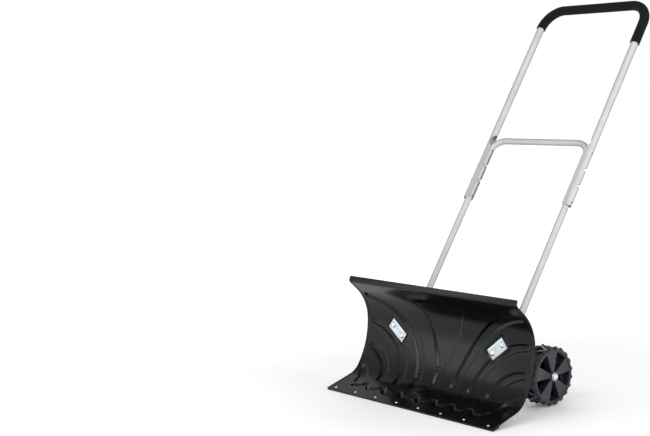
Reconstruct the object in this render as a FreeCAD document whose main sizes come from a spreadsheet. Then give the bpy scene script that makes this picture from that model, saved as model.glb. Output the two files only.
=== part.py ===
import math
import os

import FreeCAD
import Part
import Sketcher
from FreeCAD import Placement, Rotation
from FreeCAD import Vector as V

# A wheeled snow shovel: a moulded blade on a swivelling yoke, a two-wheeled tube frame behind it and a
# leaning two-part handle with a foam grip. Millimetres and degrees.
#
# Design axes: X to the right seen from the front, Y from the scraping edge towards the user, Z up from the
# ground. Every sub-part is drawn in them and moved forward by half the depth, so that the finished model has
# its origin on the ground at the middle of its footprint.

DIMENSIONS = {
    # blade
    "blade_width": (740, "width of the blade"),
    "blade_wall": (5, "wall of the moulded blade"),
    "floor_rise": (17.5, "slope of the blade's floor"),
    "floor_length": (104, "floor, from the scraping edge to the heel"),
    "heel_radius": (75, "curve from the floor into the back"),
    "heel_turn": (39.5, "angle through which the heel turns"),
    "belly_radius": (275, "curve of the lower back"),
    "crown_radius": (140, "curve of the upper back"),
    "crown_turn": (49, "angle through which the crown turns forwards"),
    "brow_length": (38, "straight under the top flange"),
    "flange_bend": (11, "front radius where the top flange turns up"),
    "flange_lean": (18, "top flange's lean from upright"),
    "flange_height": (11, "straight part of the top flange"),
    # wear strip
    "strip_wall": (3, "thickness of the steel wear strip"),
    "strip_width": (30, "width of the wear strip along the floor"),
    "worn_flat": (6, "flat that rests on the ground"),
    "rivet_count": (8, "rivets along the strip"),
    "rivet_pitch": (97.4, "distance between rivets"),
    "rivet_setback": (14.7, "rivets, behind the scraping edge"),
    "rivet_shank": (5, "rivet shank diameter"),
    "rivet_head": (8.6, "rivet head diameter"),
    "rivet_dome": (2, "rivet head height"),
    # clamps between the blade and the yoke
    "clamp_spread": (442, "distance between the two clamp plates"),
    "clamp_height": (195, "height of the clamp plates' centres"),
    "clamp_tilt": (38, "slope of the plates and the yoke's arms"),
    "clamp_length": (76, "length of a clamp plate"),
    "clamp_width": (38, "width of a clamp plate and of a yoke arm"),
    "clamp_wall": (3, "thickness of a clamp plate"),
    "clamp_corner": (1.5, "corner radius of a clamp plate"),
    "clamp_pitch": (50, "distance between the two bolts of a plate"),
    "seat_margin": (6, "blade's flat seat beyond the clamp plate"),
    "seat_depth": (1.5, "seat's depth behind the deepest point of the blade"),
    "clamp_bolt": (8, "carriage bolt diameter"),
    "clamp_head": (19, "carriage bolt head diameter"),
    "clamp_head_height": (4.75, "carriage bolt head height"),
    "clamp_thread": (3, "carriage bolt beyond its nut"),
    "clamp_nut": (13, "nut across its flats"),
    "nut_height": (6.5, "nut height on the clamp bolts"),
    "washer_wall": (1.6, "washer thickness"),
    # yoke and swivel
    "yoke_wall": (6, "thickness of the yoke plate"),
    "yoke_band": (50, "height of the yoke plate's middle"),
    "yoke_reach": (42, "yoke arm beyond the clamp's centre"),
    "hub_setback": (71, "kingpin behind the yoke plate"),
    "hub_outer": (34, "outside diameter of the yoke hub"),
    "stem_width": (30, "width of the yoke stem"),
    "kingpin": (16, "kingpin diameter"),
    "kingpin_head": (24, "kingpin head and nut across the flats"),
    "kingpin_head_height": (10, "kingpin head and nut height"),
    "bush_wall": (2, "wall and flange of the plain bushes"),
    "bush_length": (16, "length of a bush in the hub"),
    "swivel_play": (0.3, "end play of the hub in its bracket"),
    "running_gap": (0.08, "radial clearance of a turning fit"),
    "bolt_gap": (0.2, "radial clearance of a bolt in its hole"),
    "swivel_angle": (20, "blade swivel, each way"),
    # bracket
    "bracket_wall": (5, "plate thickness of the swivel bracket"),
    "bracket_gap": (49, "gap between the bracket's plates"),
    "bracket_width": (60, "width of the bracket at its back"),
    "table_radius": (62, "radius of the round upper plate"),
    "slot_radius": (46, "radius of the lock's arc slot"),
    "web_wrap": (6.25, "bracket's web past the front of the axle tube"),
    "slot_margin": (1.5, "slot beyond the swivel limit, in degrees"),
    "lock_bolt": (10, "lock bolt diameter"),
    "lock_head": (18, "lock bolt head diameter"),
    "lock_head_height": (4, "lock bolt head height"),
    "lock_gap": (0.3, "clearance of the lock bolt in the slot and of the pad under the plate"),
    "knob_radius": (19, "lock knob, body radius"),
    "knob_lobe": (6, "lock knob, lobe radius"),
    "knob_inset": (1.5, "lobe centres inside the knob's body radius"),
    "knob_lobes": (5, "lobes of the lock knob"),
    "knob_height": (20, "lock knob height"),
    # wheels and axle
    "wheel_diameter": (188, "wheel diameter at the middle of its tread"),
    "wheel_width": (64, "wheel width"),
    "wheel_setback": (362, "axle behind the scraping edge"),
    "rim_depth": (16, "depth of the wheel's rim"),
    "tread_fall": (8, "fall of the tread from its middle to the wheel's face"),
    "tread_side": (10, "width of the sloping part of the tread, each side"),
    "wheel_web": (8, "thickness of the wheel's disc"),
    "wheel_hub": (40, "diameter of the wheel's hub"),
    "lug_count": (20, "lugs around the tread"),
    "lug_groove": (9, "width of the gap between lugs"),
    "lug_depth": (11, "depth of the gap between lugs, at the middle of the tread"),
    "axle": (12, "axle rod diameter"),
    "axle_tube": (25, "axle tube outside diameter"),
    "axle_overhang": (3, "axle tube beyond the outside of a leg"),
    "wheel_play": (0.4, "end play of a wheel"),
    "cap_diameter": (25, "axle cap diameter"),
    "cap_height": (9, "axle cap height"),
    # handle
    "handle_foot": (111, "where the handle's line meets the ground, behind the scraping edge"),
    "handle_lean": (33.3, "handle's lean from upright"),
    "lower_tube": (22, "lower tube diameter"),
    "lower_wall": (1.5, "lower tube wall"),
    "leg_spread": (427, "distance between the lower tube's legs"),
    "cross_height": (962, "crossbar, along the handle's line"),
    "cross_bend": (58, "bend radius beside the crossbar"),
    "knee_height": (290, "knee, along the handle's line"),
    "knee_bend": (60, "bend radius of the knee"),
    "upper_tube": (25, "upper tube diameter"),
    "upper_wall": (1.2, "upper tube wall"),
    "upper_spread": (441, "distance between the upper tube's legs"),
    "grip_height": (1504, "grip's middle, along the handle's line"),
    "upper_bend": (75, "bend radius of the upper tube"),
    "saddle_start": (731, "lower end of the upper tube, along the handle's line"),
    "saddle_end": (985, "upper end of the part opened into a channel round the lower tube"),
    "saddle_slant": (26, "length over which the channel opens"),
    "saddle_lip": (9.5, "channel's edge, inwards of the lower tube's axis"),
    "saddle_gap": (0.3, "clearance between the two tubes, on each side"),
    "swage_length": (20, "length over which the upper tube changes to the channel's width"),
    "grip_od": (32.6, "foam grip outside diameter"),
    "grip_end": (1348, "ends of the foam grip, along the handle's line"),
    "grip_gap": (0.1, "clearance of the foam on the tube"),
    "hole_first": (743, "lowest height hole, along the handle's line"),
    "hole_pitch": (60, "distance between height holes"),
    "hole_count": (4, "height holes in each leg"),
    "handle_bolt": (6, "handle bolt diameter"),
    "handle_head": (14, "handle bolt head diameter"),
    "handle_head_height": (4, "handle bolt head height"),
    "handle_nut": (10, "handle nut across its flats"),
    "handle_nut_height": (5, "handle nut height"),
    "handle_thread": (2, "handle bolt beyond its nut"),
}

doc = FreeCAD.newDocument("WheeledSnowShovel")
sheet = doc.addObject("Spreadsheet::Sheet", "Sizes")
for row, (alias, (value, meaning)) in enumerate(DIMENSIONS.items(), start=1):
    sheet.set(f"A{row}", alias)
    sheet.set(f"B{row}", str(value))
    sheet.set(f"C{row}", meaning)
    sheet.setAlias(f"B{row}", alias)
doc.recompute()

subparts = []


def size(alias):
    return float(getattr(sheet, alias))


def words(text):
    """An expression with the sheet's name put before each alias in it."""
    tokens = text.replace("(", " ( ").replace(")", " ) ").split()
    named = " ".join("Sizes." + token if token in DIMENSIONS else token for token in tokens)
    for function in ("sin", "cos", "tan", "sqrt"):
        named = named.replace(function + " (", function + "(")
    return named


def bind(obj, target, text):
    obj.setExpression(target, words(text))


def amount(text):
    """The value of an expression, for shapes that are worked out in code."""
    result = sheet.evalExpression(words(text))
    return float(getattr(result, "Value", result))


# Places that several pieces share, each written once.
LEAN = "( handle_lean * 1deg )"
RISE = "( floor_rise * 1deg )"
TILT = "( clamp_tilt * 1deg )"
DEPTH = f"( handle_foot + grip_height * sin ( {LEAN} ) + grip_od / 2 )"
LIP = f"( ( blade_wall + strip_wall ) * cos ( {RISE} ) - worn_flat / ( tan ( {RISE} ) + 1 / tan ( {RISE} ) ) )"
AXLE_Z = "( wheel_diameter / 2 )"
TUBE_END = "( leg_spread / 2 + lower_tube / 2 + axle_overhang )"
WHEEL_IN = f"( {TUBE_END} + washer_wall + wheel_play )"
WHEEL_OUT = f"( {WHEEL_IN} + wheel_width )"
CAP_IN = f"( {WHEEL_OUT} + wheel_play + washer_wall )"
HUB_Z = AXLE_Z
CHANNEL_IN = "( lower_tube / 2 + saddle_gap )"
CHANNEL_OUT = f"( {CHANNEL_IN} + upper_wall )"
GAP_LOW = f"( {HUB_Z} - bracket_gap / 2 )"
GAP_TOP = f"( {HUB_Z} + bracket_gap / 2 )"
HUB_LOW = f"( {GAP_LOW} + swivel_play + bush_wall )"
HUB_TALL = "( bracket_gap - 2 * swivel_play - 2 * bush_wall )"


def finish(obj, label, y="0"):
    """Names a sub-part and moves it from the design axes to the model's own."""
    obj.Label = label
    bind(obj, "Placement.Base.y", f"{y} - {DEPTH} / 2")
    subparts.append(obj)
    return obj


def put(obj, x="0", y="0", z="0", turn=None, angle=None):
    if turn is not None:
        obj.Placement = Placement(V(0, 0, 0), turn)
    for axis, text in zip("xyz", (x, y, z)):
        bind(obj, f"Placement.Base.{axis}", text)
    if angle is not None:
        bind(obj, "Placement.Rotation.Angle", angle)
    return obj


ALONG_X = Rotation(V(0, 1, 0), 90)
ALONG_MINUS_X = Rotation(V(0, 1, 0), -90)
ALONG_Y = Rotation(V(1, 0, 0), -90)
ALONG_MINUS_Y = Rotation(V(1, 0, 0), 90)
ABOUT_Z = Rotation(V(0, 0, 1), 90)  # only its axis is used: the angle is bound


def cylinder(radius, height, x="0", y="0", z="0", turn=None, angle=None):
    obj = doc.addObject("Part::Cylinder", "Cylinder")
    bind(obj, "Radius", radius)
    bind(obj, "Height", height)
    return put(obj, x, y, z, turn, angle)


def cone(low, high, height, x="0", y="0", z="0", turn=None, angle=None):
    obj = doc.addObject("Part::Cone", "Cone")
    bind(obj, "Radius1", low)
    bind(obj, "Radius2", high)
    bind(obj, "Height", height)
    return put(obj, x, y, z, turn, angle)


def hexagon(flats, height, x="0", y="0", z="0", turn=None):
    obj = doc.addObject("Part::Prism", "Prism")
    obj.Polygon = 6
    bind(obj, "Circumradius", f"{flats} / sqrt ( 3 )")
    bind(obj, "Height", height)
    return put(obj, x, y, z, turn)


def box(long, wide, tall, x="0", y="0", z="0"):
    """A box centred on X that starts at y and z."""
    obj = doc.addObject("Part::Box", "Box")
    bind(obj, "Length", long)
    bind(obj, "Width", wide)
    bind(obj, "Height", tall)
    return put(obj, f"{x} - {long} / 2", y, z)


def domed_head(across, height, x, y, z, turn, angle=None):
    """A low domed head, drawn as a cone whose top is half as wide as its foot."""
    return cone(f"{across} / 2", f"{across} / 4", height, x, y, z, turn, angle)


def fuse(*shapes):
    obj = doc.addObject("Part::MultiFuse", "Fuse")
    obj.Shapes = list(shapes)
    return obj


def cut(base, *tools):
    obj = doc.addObject("Part::Cut", "Cut")
    obj.Base = base
    obj.Tool = tools[0] if len(tools) == 1 else fuse(*tools)
    return obj


def group(shapes):
    obj = doc.addObject("Part::Compound", "Group")
    obj.Links = list(shapes)
    return obj


# ---------------------------------------------------------------- sketches


def new_body(name):
    return doc.addObject("PartDesign::Body", name)


def sketch_on(body, name, role, offset="0"):
    """A sketch on one of the body's own origin planes, moved along the plane's normal."""
    sketch = body.newObject("Sketcher::SketchObject", name)
    plane = [item for item in body.Origin.OriginFeatures if item.Role == role][0]
    sketch.AttachmentSupport = [(plane, "")]
    sketch.MapMode = "FlatFace"
    bind(sketch, "AttachmentOffset.Base.z", offset)
    return sketch


TOUCHING = 1e-4


def draw(sketch, edges):
    """Adds edges that meet end to end, and joins the ends."""
    first = sketch.GeometryCount
    for edge in edges:
        sketch.addGeometry(edge, False)
    ends = [(i, end, sketch.getPoint(i, end)) for i in range(first, sketch.GeometryCount) for end in (1, 2)]
    for n, (i, end_i, point_i) in enumerate(ends):
        for j, end_j, point_j in ends[n + 1:]:
            if i != j and point_i.distanceToPoint(point_j) < TOUCHING:
                sketch.addConstraint(Sketcher.Constraint("Coincident", i, end_i, j, end_j))


def polygon(points):
    return [Part.LineSegment(a, b) for a, b in zip(points, points[1:] + points[:1])]


def circle(sketch, radius, x="0", y="0"):
    """A circle whose radius and centre are bound to the sheet."""
    number = sketch.addGeometry(Part.Circle(V(amount(x), amount(y), 0), V(0, 0, 1), amount(radius)), False)
    for kind, text in (("DistanceX", x), ("DistanceY", y)):
        which = sketch.addConstraint(Sketcher.Constraint(kind, -1, 1, number, 3, amount(text)))
        sketch.setExpression(f"Constraints[{which}]", words(text))
    which = sketch.addConstraint(Sketcher.Constraint("Radius", number, amount(radius)))
    sketch.setExpression(f"Constraints[{which}]", words(radius))
    return number


# A cut that goes right through is made a few times as long as what it cuts.


def pad(body, sketch, length, both=False, back=False):
    feature = body.newObject("PartDesign::Pad", "Pad")
    feature.Profile = sketch
    bind(feature, "Length", length)
    feature.Midplane = both
    feature.Reversed = back
    body.Tip = feature
    return feature


def pocket(body, sketch, length, both=False, back=False):
    feature = body.newObject("PartDesign::Pocket", "Pocket")
    feature.Profile = sketch
    bind(feature, "Length", length)
    feature.Midplane = both
    feature.Reversed = back
    body.Tip = feature
    return feature


def tilted(u, v, side, centre_x, centre_z):
    """A point in the front view, u along a clamp's slope and v across it."""
    slope = math.radians(size("clamp_tilt"))
    x = centre_x + u * math.cos(slope) - v * math.sin(slope)
    z = centre_z + u * math.sin(slope) + v * math.cos(slope)
    return V(side * x, z, 0)


def tilted_pad(long, wide, side):
    x = size("clamp_spread") / 2
    z = size("clamp_height")
    corners = [(-long, -wide), (long, -wide), (long, wide), (-long, wide)]
    return polygon([tilted(u / 2, v / 2, side, x, z) for u, v in corners])


CLAMP_BOLTS = [(side, end) for side in (-1, 1) for end in (-1, 1)]


def clamp_x(side, end):
    return f"{side} * ( clamp_spread / 2 + {end} * clamp_pitch / 2 * cos ( {TILT} ) )"


def clamp_z(end):
    return f"( clamp_height + {end} * clamp_pitch / 2 * sin ( {TILT} ) )"


# ---------------------------------------------------------------- blade


def blade_line(offset, stop=None):
    """The blade's side view as edges, offset backwards from its front face, as far as stop along the floor.

    It starts at the scraping edge and runs as a floor, a heel, a lower back, a crown and a brow to the top
    flange. A turn to the left has its centre on the front side.
    """
    heading = size("floor_rise")
    y, z = 0.0, amount(LIP)
    edges = []

    def at(y0, z0, angle):
        side = math.radians(angle - 90)
        return V(y0 + offset * math.cos(side), z0 + offset * math.sin(side), 0)

    def straight(length):
        nonlocal y, z
        start = at(y, z, heading)
        y += length * math.cos(math.radians(heading))
        z += length * math.sin(math.radians(heading))
        edges.append(Part.LineSegment(start, at(y, z, heading)))

    def turn(radius, angle):
        nonlocal y, z, heading
        left = math.copysign(1, angle)
        centre = (y - left * radius * math.sin(math.radians(heading)),
                  z + left * radius * math.cos(math.radians(heading)))
        places = []
        for part in (0, 0.5, 1):
            now = heading + angle * part
            py = centre[0] + left * radius * math.sin(math.radians(now))
            pz = centre[1] - left * radius * math.cos(math.radians(now))
            places.append(at(py, pz, now))
        edges.append(Part.Arc(*places))
        y, z, heading = py, pz, now

    if stop is not None:
        straight(stop)
        return edges, places_of(edges)
    straight(size("floor_length"))
    turn(size("heel_radius"), size("heel_turn"))
    turn(size("belly_radius"), 90 - heading)
    turn(size("crown_radius"), size("crown_turn"))
    straight(size("brow_length"))
    turn(size("flange_bend"), 90 - size("flange_lean") - heading)
    straight(size("flange_height"))
    return edges, places_of(edges)


def places_of(edges):
    """The first and the last point of a run of edges."""
    first = edges[0]
    start = first.StartPoint if isinstance(first, Part.LineSegment) else first.value(first.FirstParameter)
    return start, edges[-1].EndPoint


def deepest():
    """How far back the blade's front face reaches at the top of the lower back."""
    heading = math.radians(size("floor_rise"))
    heel = math.radians(size("floor_rise") + size("heel_turn"))
    reach = size("floor_length") * math.cos(heading)
    reach += size("heel_radius") * (math.sin(heel) - math.sin(heading))
    return reach + size("belly_radius") * (1 - math.sin(heel))


SEAT = f"( {deepest()} + seat_depth )"
YOKE_FRONT = f"( {SEAT} + blade_wall )"
YOKE_BACK = f"( {YOKE_FRONT} + yoke_wall )"
KINGPIN_Y = f"( {YOKE_BACK} + hub_setback )"


def rivet_x(number):
    return f"( {number} - ( rivet_count - 1 ) / 2 ) * rivet_pitch"


def strip_holes(body):
    """Rivet holes, square to the floor, cut through the lip from a plane along it."""
    holes = body.newObject("Sketcher::SketchObject", "RivetHoles")
    plane = [item for item in body.Origin.OriginFeatures if item.Role == "XY_Plane"][0]
    holes.AttachmentSupport = [(plane, "")]
    holes.MapMode = "FlatFace"
    holes.AttachmentOffset = Placement(V(0, 0, amount(LIP)), Rotation(V(1, 0, 0), size("floor_rise")))
    for number in range(int(size("rivet_count"))):
        circle(holes, "rivet_shank / 2", rivet_x(number), "rivet_setback")
    pocket(body, holes, "4 * blade_wall", both=True)


def make_blade_shell():
    body = new_body("BladeShell")
    section = sketch_on(body, "Section", "YZ_Plane")
    front, (front_low, front_top) = blade_line(0)
    back, (back_low, back_top) = blade_line(size("blade_wall"))
    ends = [Part.LineSegment(front_top, back_top), Part.LineSegment(back_low, front_low)]
    draw(section, front + back + ends)
    pad(body, section, "blade_width", both=True)
    long = size("clamp_length") + 2 * size("seat_margin")
    wide = size("clamp_width") + 2 * size("seat_margin")
    rear = sketch_on(body, "SeatBacks", "XZ_Plane", f"0 - {YOKE_FRONT}")
    recess = sketch_on(body, "SeatFronts", "XZ_Plane", f"0 - {SEAT}")
    for side in (-1, 1):
        draw(rear, tilted_pad(long, wide, side))
        draw(recess, tilted_pad(long, wide, side))
    pad(body, rear, "blade_wall")
    pocket(body, recess, SEAT, back=True)
    bolts = sketch_on(body, "ClampHoles", "XZ_Plane")
    for side, end in CLAMP_BOLTS:
        circle(bolts, "clamp_bolt / 2 + bolt_gap", clamp_x(side, end), clamp_z(end))
    pocket(body, bolts, f"2 * {YOKE_BACK}")
    strip_holes(body)
    return finish(body, "blade_shell")


def make_wear_strip():
    body = new_body("WearStrip")
    section = sketch_on(body, "Section", "YZ_Plane")
    wall = size("blade_wall")
    top, (top_front, top_back) = blade_line(wall, size("strip_width"))
    low, (low_front, low_back) = blade_line(wall + size("strip_wall"), size("strip_width"))
    slope = math.radians(size("floor_rise"))
    flat_front = low_front + V(-math.sin(slope), math.cos(slope), 0) * (-low_front.y / math.cos(slope))
    flat_back = low_front + V(math.cos(slope), math.sin(slope), 0) * (-low_front.y / math.sin(slope))
    draw(section, polygon([top_front, top_back, low_back, flat_back, flat_front]))
    pad(body, section, "blade_width", both=True)
    strip_holes(body)
    return finish(body, "wear_strip")


def make_rivets():
    rivets = []
    shank = "( blade_wall + strip_wall )"
    for number in range(int(size("rivet_count"))):
        x = rivet_x(number)
        out = f"( rivet_setback * cos ( {RISE} ) )"
        up = f"( {LIP} + rivet_setback * sin ( {RISE} ) )"
        foot_y = f"( {out} + {shank} * sin ( {RISE} ) )"
        foot_z = f"( {up} - {shank} * cos ( {RISE} ) )"
        turn = Rotation(V(1, 0, 0), size("floor_rise"))
        stem = cylinder("rivet_shank / 2", shank, x, foot_y, foot_z, turn, "floor_rise")
        head = domed_head("rivet_head", "rivet_dome", x, out, up, turn, "floor_rise")
        rivets.append(fuse(stem, head))
    return finish(group(rivets), "wear_strip_rivets")


# ---------------------------------------------------------------- clamps and yoke


def rounded_pad(long, wide, corner, side):
    """A clamp plate's outline: straight sides joined by quarter-round corners."""
    x = size("clamp_spread") / 2
    z = size("clamp_height")
    edges = []
    reach = [(1, 1), (-1, 1), (-1, -1), (1, -1)]
    for number, (su, sv) in enumerate(reach):
        centre_u = su * (long / 2 - corner)
        centre_v = sv * (wide / 2 - corner)
        start = 90 * number
        places = [math.radians(start + step) for step in (0, 45, 90)]
        edges.append([
            tilted(centre_u + corner * math.cos(turn), centre_v + corner * math.sin(turn), side, x, z)
            for turn in places
        ])
    outline = []
    for arc, following in zip(edges, edges[1:] + edges[:1]):
        outline.append(Part.Arc(*arc))
        outline.append(Part.LineSegment(arc[2], following[0]))
    return outline


def make_clamp_plate(side, name):
    body = new_body("ClampPlate")
    outline = sketch_on(body, "Outline", "XZ_Plane", f"0 - {SEAT}")
    draw(outline, rounded_pad(size("clamp_length"), size("clamp_width"), size("clamp_corner"), side))
    pad(body, outline, "clamp_wall")
    holes = sketch_on(body, "Holes", "XZ_Plane", f"0 - {SEAT}")
    for end in (-1, 1):
        circle(holes, "clamp_bolt / 2 + bolt_gap", clamp_x(side, end), clamp_z(end))
    pocket(body, holes, "4 * clamp_wall", both=True)
    return finish(body, name)


def make_clamp_hardware():
    front = f"( {SEAT} - clamp_wall )"
    grip = "( clamp_wall + blade_wall + yoke_wall + washer_wall + nut_height + clamp_thread )"
    bolts, washers, nuts = [], [], []
    for side, end in CLAMP_BOLTS:
        x = clamp_x(side, end)
        z = clamp_z(end)
        shank = cylinder("clamp_bolt / 2", grip, x, front, z, ALONG_Y)
        head = domed_head("clamp_head", "clamp_head_height", x, front, z, ALONG_MINUS_Y)
        bolts.append(fuse(shank, head))
        disc = cylinder("clamp_bolt", "washer_wall", x, YOKE_BACK, z, ALONG_Y)
        washers.append(cut(disc, cylinder("clamp_bolt / 2", "washer_wall", x, YOKE_BACK, z, ALONG_Y)))
        seat = f"( {YOKE_BACK} + washer_wall )"
        nut = hexagon("clamp_nut", "nut_height", x, seat, z, ALONG_Y)
        nuts.append(cut(nut, cylinder("clamp_bolt / 2", "nut_height", x, seat, z, ALONG_Y)))
    finish(group(bolts), "clamp_carriage_bolts")
    finish(group(washers), "clamp_washers")
    finish(group(nuts), "clamp_nuts")


def make_yoke_plate():
    """A flat plate shaped like a gull's wings: a level middle and two arms that rise to the clamps."""
    body = new_body("YokePlate")
    outline = sketch_on(body, "Outline", "XZ_Plane", f"0 - {YOKE_FRONT}")
    slope = math.tan(math.radians(size("clamp_tilt")))
    middle = amount(HUB_Z)
    half = size("yoke_band") / 2
    wide = size("clamp_width") / 2
    arm_x = size("clamp_spread") / 2
    arm_z = size("clamp_height")
    far = [tilted(size("yoke_reach"), v, 1, arm_x, arm_z) for v in (-wide, wide)]
    low_x = far[0].x - (far[0].y - (middle - half)) / slope
    high_x = far[1].x - (far[1].y - (middle + half)) / slope
    right = [V(low_x, middle - half, 0), far[0], far[1], V(high_x, middle + half, 0)]
    left = [V(-point.x, point.y, 0) for point in reversed(right)]
    draw(outline, polygon(right + left))
    pad(body, outline, "yoke_wall", back=True)
    holes = sketch_on(body, "Holes", "XZ_Plane", f"0 - {YOKE_FRONT}")
    for side, end in CLAMP_BOLTS:
        circle(holes, "clamp_bolt / 2 + bolt_gap", clamp_x(side, end), clamp_z(end))
    pocket(body, holes, "4 * yoke_wall", both=True)
    return finish(body, "yoke_plate")


def make_yoke_hub():
    """The upright hub, its stem to the yoke plate, and the pad that the lock bolt pulls up."""
    stem_low = f"( {HUB_LOW} + bush_wall )"
    stem_tall = f"( {HUB_TALL} - 2 * bush_wall )"
    stem = box("stem_width", "hub_setback", stem_tall, y=YOKE_BACK, z=stem_low)
    tube = cylinder("hub_outer / 2", HUB_TALL, y=KINGPIN_Y, z=HUB_LOW)
    lock_y = f"( {KINGPIN_Y} - slot_radius )"
    pad_top = f"( {GAP_TOP} - lock_gap )"
    pad_low = f"( {stem_low} + {stem_tall} / 2 )"
    lock_pad = cylinder("stem_width / 2", f"{pad_top} - {pad_low}", y=lock_y, z=pad_low)
    bore = cylinder("kingpin / 2 + bush_wall", f"2 * {HUB_Z}", y=KINGPIN_Y)
    hole = cylinder("lock_bolt / 2 + bolt_gap", f"2 * {HUB_Z}", y=lock_y)
    return finish(cut(fuse(stem, tube, lock_pad), bore, hole), "yoke_hub")


def make_hub_bushes():
    bushes = []
    inner = "( kingpin / 2 + running_gap )"
    for flange_z, sleeve_z in (
        (f"( {HUB_LOW} - bush_wall )", HUB_LOW),
        (f"( {HUB_LOW} + {HUB_TALL} )", f"( {HUB_LOW} + {HUB_TALL} - bush_length )"),
    ):
        flange = cylinder("hub_outer / 2", "bush_wall", y=KINGPIN_Y, z=flange_z)
        sleeve = cylinder("kingpin / 2 + bush_wall", "bush_length", y=KINGPIN_Y, z=sleeve_z)
        bushes.append(cut(fuse(flange, sleeve), cylinder(inner, f"2 * {HUB_Z}", y=KINGPIN_Y)))
    return finish(group(bushes), "hub_bushes")


# ---------------------------------------------------------------- bracket, kingpin and lock


def make_swivel_bracket():
    web_back = "( wheel_setback - axle_tube / 2 + web_wrap )"
    plate_long = f"( {web_back} - {KINGPIN_Y} )"
    low = f"( {GAP_LOW} - bracket_wall )"
    whole = "( bracket_gap + 2 * bracket_wall )"
    upper = box("bracket_width", plate_long, "bracket_wall", y=KINGPIN_Y, z=GAP_TOP)
    table = cylinder("table_radius", "bracket_wall", y=KINGPIN_Y, z=GAP_TOP)
    lower = box("bracket_width", plate_long, "bracket_wall", y=KINGPIN_Y, z=low)
    nose = cylinder("bracket_width / 2", "bracket_wall", y=KINGPIN_Y, z=low)
    web_front = "( wheel_setback - axle_tube / 2 - bracket_wall )"
    web = box("bracket_width", f"( {web_back} - {web_front} )", whole, y=web_front, z=low)
    tube_seat = cylinder(
        "axle_tube / 2", "2 * bracket_width", "0 - bracket_width", "wheel_setback", AXLE_Z, ALONG_X
    )
    kingpin_hole = cylinder("kingpin / 2 + bolt_gap", whole, y=KINGPIN_Y, z=low)
    half = "( lock_bolt / 2 + lock_gap )"
    sweep = "( swivel_angle + slot_margin )"
    outer = cylinder(f"slot_radius + {half}", "bracket_wall", y=KINGPIN_Y, z=GAP_TOP,
                     turn=ABOUT_Z, angle=f"270 - {sweep}")
    bind(outer, "Angle", f"2 * {sweep}")
    arc = cut(outer, cylinder(f"slot_radius - {half}", "bracket_wall", y=KINGPIN_Y, z=GAP_TOP))
    ends = [
        cylinder(
            half, "bracket_wall",
            f"{side} * slot_radius * sin ( {sweep} * 1deg )",
            f"{KINGPIN_Y} - slot_radius * cos ( {sweep} * 1deg )",
            GAP_TOP,
        )
        for side in (-1, 1)
    ]
    bracket = cut(fuse(upper, table, lower, nose, web), tube_seat, kingpin_hole, arc, *ends)
    return finish(bracket, "swivel_bracket")


def make_kingpin():
    """A hexagon-headed pin from above, with a washer under its head and one over its nut."""
    low = f"( {GAP_LOW} - bracket_wall )"
    top = f"( {GAP_TOP} + bracket_wall )"
    head_z = f"( {top} + washer_wall )"
    nut_z = f"( {low} - washer_wall - kingpin_head_height )"
    shank = cylinder("kingpin / 2", f"{head_z} - {nut_z}", y=KINGPIN_Y, z=nut_z)
    head = hexagon("kingpin_head", "kingpin_head_height", y=KINGPIN_Y, z=head_z)
    finish(fuse(shank, head), "kingpin")
    nut = hexagon("kingpin_head", "kingpin_head_height", y=KINGPIN_Y, z=nut_z)
    finish(cut(nut, cylinder("kingpin / 2", "kingpin_head_height", y=KINGPIN_Y, z=nut_z)), "kingpin_nut")
    washers = []
    for z in (top, f"( {low} - washer_wall )"):
        disc = cylinder("kingpin_head / 2 + washer_wall", "washer_wall", y=KINGPIN_Y, z=z)
        washers.append(cut(disc, cylinder("kingpin / 2", "washer_wall", y=KINGPIN_Y, z=z)))
    finish(group(washers), "kingpin_washers")


def make_lock():
    """A carriage bolt up through the stem and the slot, a washer and a lobed knob on it."""
    lock_y = f"( {KINGPIN_Y} - slot_radius )"
    stem_low = f"( {HUB_LOW} + bush_wall )"
    washer_z = f"( {GAP_TOP} + bracket_wall + lock_gap )"
    knob_z = f"( {washer_z} + washer_wall )"
    shank = cylinder("lock_bolt / 2", f"{knob_z} + knob_height / 2 - {stem_low}", y=lock_y, z=stem_low)
    head_z = f"( {stem_low} - lock_head_height )"
    head = cone("lock_bolt / 2", "lock_head / 2", "lock_head_height", y=lock_y, z=head_z)
    finish(fuse(shank, head), "lock_bolt")
    disc = cylinder("lock_bolt", "washer_wall", y=lock_y, z=washer_z)
    finish(cut(disc, cylinder("lock_bolt / 2 + bolt_gap", "washer_wall", y=lock_y, z=washer_z)), "lock_washer")
    core = cylinder("knob_radius", "knob_height", y=lock_y, z=knob_z)
    lobes = []
    count = int(size("knob_lobes"))
    for number in range(count):
        turn = f"( {number} * 360deg / knob_lobes )"
        lobe_x = f"( knob_radius - knob_inset ) * sin {turn}"
        lobe_y = f"{lock_y} + ( knob_radius - knob_inset ) * cos {turn}"
        lobes.append(cylinder("knob_lobe", "knob_height", lobe_x, lobe_y, knob_z))
    bore = cylinder("lock_bolt / 2 + running_gap", "knob_height / 2 + lock_gap", y=lock_y, z=knob_z)
    finish(cut(fuse(core, *lobes), bore), "lock_knob")


# ---------------------------------------------------------------- axle and wheels


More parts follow.
